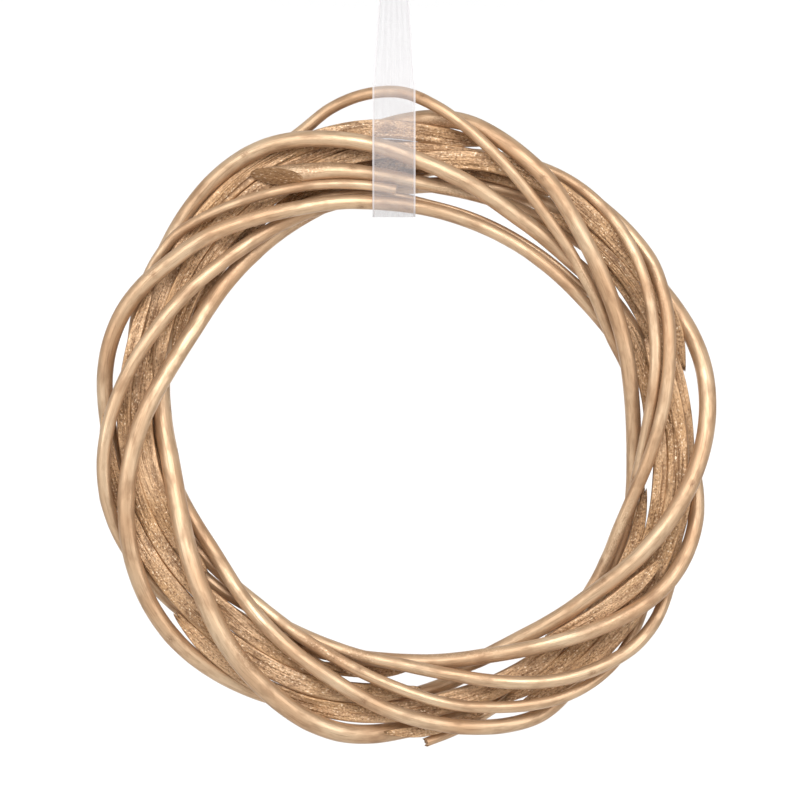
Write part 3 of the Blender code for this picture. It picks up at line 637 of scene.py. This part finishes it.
def ribbon_rows(step):
    """The whole ribbon's line, tail to tail: (sideways, forward, up from the crotch, width)."""
    outline = taut_outline() + np.array([0.0, RING_Z])
    rows = []
    for side, near in ((1, outline[0]), (-1, outline[-1])):
        share = np.linspace(1, 0, 40)
        tail = np.column_stack([
            -side * TAIL_LEAN * share ** 2, side * (LEG_GAP / 2 + TAIL_SPREAD * share ** 2),
            TAIL_FROM + TAIL_LENGTH * share, share ** 0.7])
        down = np.linspace(0, 1, 60)[:-1]
        leg = np.column_stack([
            np.zeros_like(down), side * LEG_GAP / 2 * (1 - down) + near[0] * down, near[1] * down,
            np.zeros_like(down)])
        rows.append(np.concatenate([tail, leg]))
    loop = np.column_stack([np.zeros(len(outline)), outline, np.zeros(len(outline))])
    line = np.concatenate([rows[0], loop, rows[1][::-1]])
    spread = np.clip(-line[:, 2] / (-RING_Z - FULL_WIDTH_AT), 0, 1)
    width = GATHERED + (RIBBON_WIDTH - GATHERED) * np.maximum(spread, line[:, 3])
    along = np.concatenate([[0], np.cumsum(np.linalg.norm(np.diff(line[:, :3], axis=0), axis=1))])
    fine = np.linspace(0, along[-1], int(along[-1] / step))
    made = np.column_stack([np.interp(fine, along, line[:, k]) for k in range(3)])
    return fine, made, np.interp(fine, along, width)


def ribbon():
    """The organza strip: front tail, front leg, round the rods, back leg, back tail.

    point = line(s) + v * width(s) / 2 sideways + pleats, pleats = depth(s) * cos(2 pi PLEATS v)
    forward, where v runs from -1 to 1 across, and depth keeps the folded cloth 15 mm wide:
    depth = width / (pi PLEATS) * sqrt(15 / width - 1).
    """
    along, line, width = ribbon_rows(0.7 * MM)
    rng = seeded("ribbon")
    v = np.linspace(-1, 1, 61)
    depth = width / (math.pi * PLEATS) * np.sqrt(np.clip(RIBBON_WIDTH / width - 1, 0, None)) * 0.8
    turn = np.gradient(line, axis=0)
    lean = turn[:, 0] / np.linalg.norm(turn, axis=1)
    tail = np.clip((line[:, 2] - TAIL_FROM) / TAIL_LENGTH, 0, 1)
    front = np.where(np.arange(len(along)) < len(along) // 2, 1.0, -1.0)
    wave = wandering(rng, along, v * 2.2, 0.020, [(0, 0.10), (1, 0.12), (2, 0.08)]) * MM
    free = np.clip(tail * 4, 0, 1) + 0.35 * np.clip((line[:, 2] + 0.075) / 0.03, 0, 1)
    fold = depth[:, None] * np.cos(math.pi * PLEATS * v)[None]
    curl = (1.6 * MM * tail ** 1.5 * front)[:, None] * (v ** 2)[None]
    across = v[None] * width[:, None] / 2
    x = line[:, :1] + across
    forward = line[:, 1:2] + fold + wave * free[:, None] + curl
    up = line[:, 2:3] - across * (lean * front)[:, None] * 0.5
    up = up + (3.2 * MM * tail ** 6 * front)[:, None] * v[None]
    points = np.stack([x, -forward, up], axis=-1)
    rows, columns = x.shape
    mesh = smooth_mesh(
        "ribbon", points.reshape(-1, 3).tolist(), grid_faces(rows, columns, False).tolist())
    cloth = np.stack([
        np.tile(v * RIBBON_WIDTH / 2, (rows, 1)), np.tile(along[:, None], (1, columns)),
        np.zeros((rows, columns))], axis=-1)
    add_layer(mesh, "cloth", "FLOAT_VECTOR", "vector", cloth)
    mesh.materials.append(ORGANZA)
    piece = placed("ribbon", mesh)
    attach(piece, "hanger")
    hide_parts("ribbon_strip")
    return piece, float(along[-1])


def knot():
    """The turn of ribbon that ties both legs: a flattened ring of pleated cloth, pulled tight.

    Around the ring t and around its section p: section half width 1.75 mm and half height 2.7 mm,
    lower at the sides where the cloth turns, times 1 + pleats, which run round the ring on a slant.
    """
    t = np.arange(120) / 120 * 2 * math.pi
    p = np.arange(48) / 48 * 2 * math.pi
    T, P = np.meshgrid(t, p, indexing="ij")
    pleats = 0.12 * np.cos(7 * P + 1.6 * np.sin(T)) - 0.08
    pleats += 0.07 * np.cos(4 * P - 2.0 * np.cos(T + 0.6))
    pinch = 1 - 0.10 * np.cos(T - 0.5) ** 8
    half = 1.75 * MM * (1 + pleats) * pinch
    high = 2.7 * MM * (1 + pleats) * pinch * (0.72 + 0.28 * np.abs(np.sin(T)))
    x = (5.4 * MM + half * np.cos(P)) * np.cos(T)
    y = (5.4 * MM * 0.62 + half * 0.62 * np.cos(P)) * np.sin(T)
    z = KNOT_MIDDLE + high * np.sin(P) + 0.9 * MM * np.cos(T)
    points = np.stack([x, y, z], axis=-1)
    faces = grid_faces(len(t), len(p), True).tolist()
    last = (len(t) - 1) * len(p)
    k = np.arange(len(p))
    n = (k + 1) % len(p)
    faces += np.stack([last + k, last + n, n, k], axis=1).tolist()
    mesh = smooth_mesh("knot", points.reshape(-1, 3).tolist(), faces)
    cloth = np.stack([(P / (2 * math.pi) - 0.5) * 13 * MM, T * 5 * MM, np.zeros_like(T)], axis=-1)
    add_layer(mesh, "cloth", "FLOAT_VECTOR", "vector", cloth)
    mesh.materials.append(ORGANZA_KNOT)
    piece = placed("knot", mesh)
    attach(piece, "hanger")
    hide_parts("ribbon_knot")
    return piece


ribbon_piece, ribbon_length = ribbon()
knot_piece = knot()


# --- stage, light and camera ------------------------------------------------------------------
def paper_sweep():
    """White background paper: flat floor, a quarter round, then a wall, 8 m wide."""
    floor, front, back, bend, top = RING_Z - 0.75, -3.0, 2.6, 0.6, 2.8
    turn = np.linspace(0, math.pi / 2, 17)
    y = np.concatenate([[front], back - bend + bend * np.sin(turn), [back]])
    z = np.concatenate([[floor], floor + bend - bend * np.cos(turn), [top]])
    points = np.concatenate([
        np.column_stack([np.full(len(y), x), y, z]) for x in (-4.0, 4.0)])
    points = points.reshape(2, -1, 3).transpose(1, 0, 2).reshape(-1, 3)
    rows = len(y)
    i = np.arange(rows - 1)
    quads = np.stack([2 * i, 2 * i + 1, 2 * i + 3, 2 * i + 2], axis=1)
    mesh = smooth_mesh("paper_sweep", points.tolist(), quads.tolist())
    sweep = placed("paper_sweep", mesh)
    # Matt white background paper: an even, shadowless white behind the ring.
    material, tree = new_material("white_background_paper")
    shader = add(tree, "ShaderNodeBsdfPrincipled", {
        "Base Color": linear("#F0F0F0"), "Roughness": 0.9, "Specular IOR Level": 0.1})
    add(tree, "ShaderNodeOutputMaterial", {"Surface": shader.outputs[0]})
    mesh.materials.append(material)


def soft_box(name, place, aim, width, height, power):
    light = bpy.data.lights.new(name, "AREA")
    light.shape = "RECTANGLE"
    light.size, light.size_y = width, height
    light.energy = power
    lamp = placed(name, light)
    lamp.location = place
    lamp.visible_camera = False
    way = np.array(aim) - np.array(place)
    way = way / np.linalg.norm(way)
    lamp.rotation_euler = (math.acos(-way[2]), 0.0, math.atan2(way[1], way[0]) - math.pi / 2)


CAMERA_DISTANCE = 1.4
FIELD_WIDTH = 0.2807  # what the lens takes in, side to side, at the ring
CAMERA_LEFT, CAMERA_UP = 1.4 * MM, 11.2 * MM  # from the ring's middle


def camera():
    """A long lens straight in front, level with the ring's middle; the ribbon leaves the top."""
    lens = bpy.data.cameras.new("camera")
    lens.sensor_width = 36.0
    lens.lens = 36.0 * CAMERA_DISTANCE / FIELD_WIDTH
    lens.clip_end = 20.0
    made = placed("camera", lens)
    made.location = (RING_X - CAMERA_LEFT, -CAMERA_DISTANCE, RING_Z + CAMERA_UP)
    made.rotation_euler = (math.pi / 2, 0.0, 0.0)
    bpy.context.scene.camera = made


paper_sweep()
ring_place = (RING_X, 0.0, RING_Z)
soft_box("key_box", (0.0, -0.95, RING_Z + 0.45), ring_place, 0.7, 0.4, 7.0)
soft_box("left_box", (-0.8, -0.8, RING_Z + 0.1), ring_place, 0.3, 0.7, 3.2)
soft_box("right_box", (0.8, -0.8, RING_Z + 0.1), ring_place, 0.3, 0.7, 3.2)
soft_box("wall_left", (-1.4, 1.5, RING_Z), (-0.2, 2.6, RING_Z), 1.0, 1.0, 11.2)
soft_box("wall_right", (1.4, 1.5, RING_Z), (0.2, 2.6, RING_Z), 1.0, 1.0, 11.2)
world = bpy.data.worlds.new("studio")
bpy.context.scene.world = world
world.use_nodes = True
world.node_tree.nodes["Background"].inputs["Color"].default_value = (1, 1, 1, 1)
world.node_tree.nodes["Background"].inputs["Strength"].default_value = 0.62
bpy.context.scene.view_settings.view_transform = "Standard"
camera()
